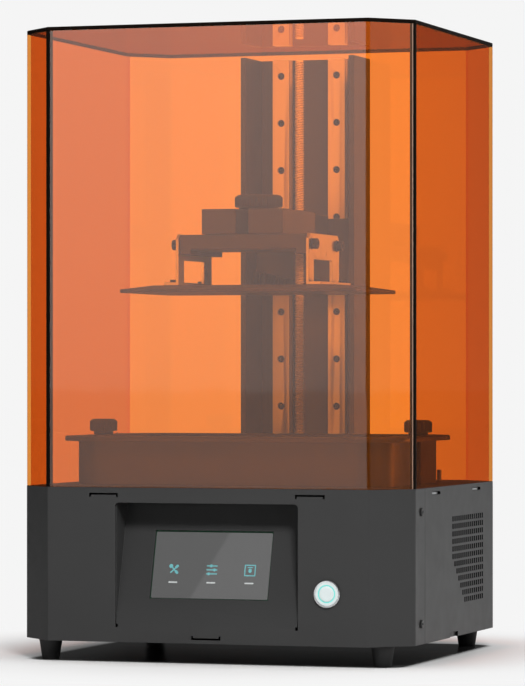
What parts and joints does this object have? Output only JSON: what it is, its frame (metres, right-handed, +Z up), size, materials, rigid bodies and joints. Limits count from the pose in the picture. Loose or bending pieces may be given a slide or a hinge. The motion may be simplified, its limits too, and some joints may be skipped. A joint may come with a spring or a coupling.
{
  "type": "resin printer",
  "caption": "Desktop resin 3D printer: dark steel base with sloping touch screen, tinted octagonal lift-off hood, vat, and build plate on a railed Z tower.",
  "frame": {"origin": "on the floor under the centre of the footprint", "axes": "+X to the printer's right as seen from the front, +Y to its back, +Z up along the tower"},
  "size_m": [0.3282, 0.2968, 0.503],
  "materials": {
    "powder_coat_grey": "fine-textured powder coat, satin",
    "deck_black": "satin black paint",
    "zinc_steel": "zinc-plated sheet",
    "foot_rubber": "matte",
    "black_screw_steel": "black oxide",
    "screen_glass": "glossy cover glass over a dark display",
    "circuit_board": "solder mask",
    "button_metal": "polished stainless steel",
    "button_white": "translucent white, lit",
    "lcd_glass": "glossy glass",
    "black_plastic": "moulded",
    "clear_plastic": "clear",
    "led_yellow": "domed",
    "bright_aluminium": "machined",
    "bracket_aluminium": "bright sheet",
    "socket_steel": "plain",
    "black_anodised": "black anodised, fine satin",
    "rail_steel": "ground",
    "motor_black": "satin",
    "nut_brass": "turned",
    "vat_metal": "black anodised",
    "knob_black": "knurled",
    "tinted_acrylic": "polished, light-blocking orange tint"
  },
  "bodies": {
    "base": {"front_panel": "powder_coat_grey", "left_side_panel": "powder_coat_grey", "right_side_panel": "powder_coat_grey", "rear_panel": "powder_coat_grey", "bottom_tray": "powder_coat_grey", "deck_plate": "deck_black", "deck_brackets": "zinc_steel", "rubber_feet": "foot_rubber", "panel_screws": "black_screw_steel", "screen_glass": "screen_glass", "screen_module": "circuit_board", "button_bezel": "button_metal", "mask_lcd_panel": "lcd_glass", "light_shroud": "black_plastic", "lens_plate": "clear_plastic", "led_board": "circuit_board", "uv_leds": "led_yellow", "heat_sink": "bright_aluminium", "rear_fan_frame": "black_plastic", "light_fan_frame": "black_plastic", "power_supply": "zinc_steel", "control_board": "circuit_board", "power_inlet": "black_plastic", "usb_socket": "socket_steel", "tower_channel": "black_anodised", "left_rail": "rail_steel", "right_rail": "rail_steel", "rail_screws": "black_screw_steel", "z_motor": "motor_black", "z_limit_sensor": "black_plastic", "hood_pegs": "bright_aluminium"},
    "hood": {"hood_front": "tinted_acrylic", "hood_right": "tinted_acrylic", "hood_rear": "tinted_acrylic", "hood_left": "tinted_acrylic", "hood_top": "tinted_acrylic"},
    "drive_screw": {"lead_screw": "rail_steel", "motor_shaft": "socket_steel", "shaft_coupler": "bright_aluminium"},
    "carriage": {"carriage_plate": "black_anodised", "rail_blocks": "rail_steel", "cantilever_arm": "black_anodised", "lead_nut": "nut_brass"},
    "platform_mount": {"mount_block": "black_anodised", "clamp_screws": "black_screw_steel"},
    "clamp_knob": {"platform_knob": "knob_black"},
    "platform": {"build_plate": "black_anodised", "plate_brackets": "bracket_aluminium", "bracket_screws": "black_screw_steel"},
    "vat": {"vat_body": "vat_metal", "film_frame": "vat_metal", "vat_film": "clear_plastic"},
    "vat_knob_left": {"left_vat_knob": "knob_black"},
    "vat_knob_right": {"right_vat_knob": "knob_black"},
    "power_button": {"button_cap": "button_white"},
    "power_switch": {"switch_rocker": "black_plastic"},
    "rear_rotor": {"rear_fan_rotor": "black_plastic"},
    "light_rotor": {"light_fan_rotor": "black_plastic"}
  },
  "joints": [
    {"name": "hood_lift", "type": "slide", "parent": "base", "child": "hood", "axis": [0, 0, 1], "range_m": [0, 0.36]},
    {"name": "carriage_travel", "type": "slide", "parent": "base", "child": "carriage", "axis": [0, 0, 1], "range_m": [-0.1505, 0.098]},
    {"name": "drive_screw_turn", "type": "hinge", "parent": "base", "child": "drive_screw", "pos_m": [0, 0.095, 0.2], "axis": [0, 0, 1], "range_deg": [-8830, 13560]},
    {"name": "platform_release", "type": "slide", "parent": "carriage", "child": "platform_mount", "axis": [0, -1, 0], "range_m": [0, 0.055]},
    {"name": "clamp_knob_turn", "type": "hinge", "parent": "platform_mount", "child": "clamp_knob", "pos_m": [0, -0.014, 0.365], "axis": [0, 0, 1], "range_deg": [0, 1080]},
    {"name": "platform_levelling", "type": "slide", "parent": "platform_mount", "child": "platform", "axis": [0, 0, 1], "range_m": [-0.0015, 0.0015]},
    {"name": "vat_lift", "type": "slide", "parent": "base", "child": "vat", "axis": [0, 0, 1], "range_m": [0, 0.1]},
    {"name": "vat_knob_left_turn", "type": "hinge", "parent": "vat", "child": "vat_knob_left", "pos_m": [-0.135, -0.014, 0.18], "axis": [0, 0, 1], "range_deg": [0, 1800]},
    {"name": "vat_knob_right_turn", "type": "hinge", "parent": "vat", "child": "vat_knob_right", "pos_m": [0.135, -0.014, 0.18], "axis": [0, 0, 1], "range_deg": [0, 1800]},
    {"name": "power_button_press", "type": "slide", "parent": "base", "child": "power_button", "axis": [0, 1, 0], "range_m": [0, 0.0015], "stiffness_N_per_m": 1500},
    {"name": "power_switch_rock", "type": "hinge", "parent": "base", "child": "power_switch", "pos_m": [-0.095, 0.1435, 0.082], "axis": [1, 0, 0], "range_deg": [-20, 0]},
    {"name": "rear_fan_spin", "type": "hinge", "parent": "base", "child": "rear_rotor", "pos_m": [0.06, 0.135, 0.077], "axis": [0, 1, 0], "continuous": true},
    {"name": "light_fan_spin", "type": "hinge", "parent": "base", "child": "light_rotor", "pos_m": [0, -0.014, 0.038], "axis": [0, 0, 1], "continuous": true}
  ],
  "couplings": [
    {"joint": "drive_screw_turn", "follows": "carriage_travel", "rad_per_m": -1570.8}
  ]
}
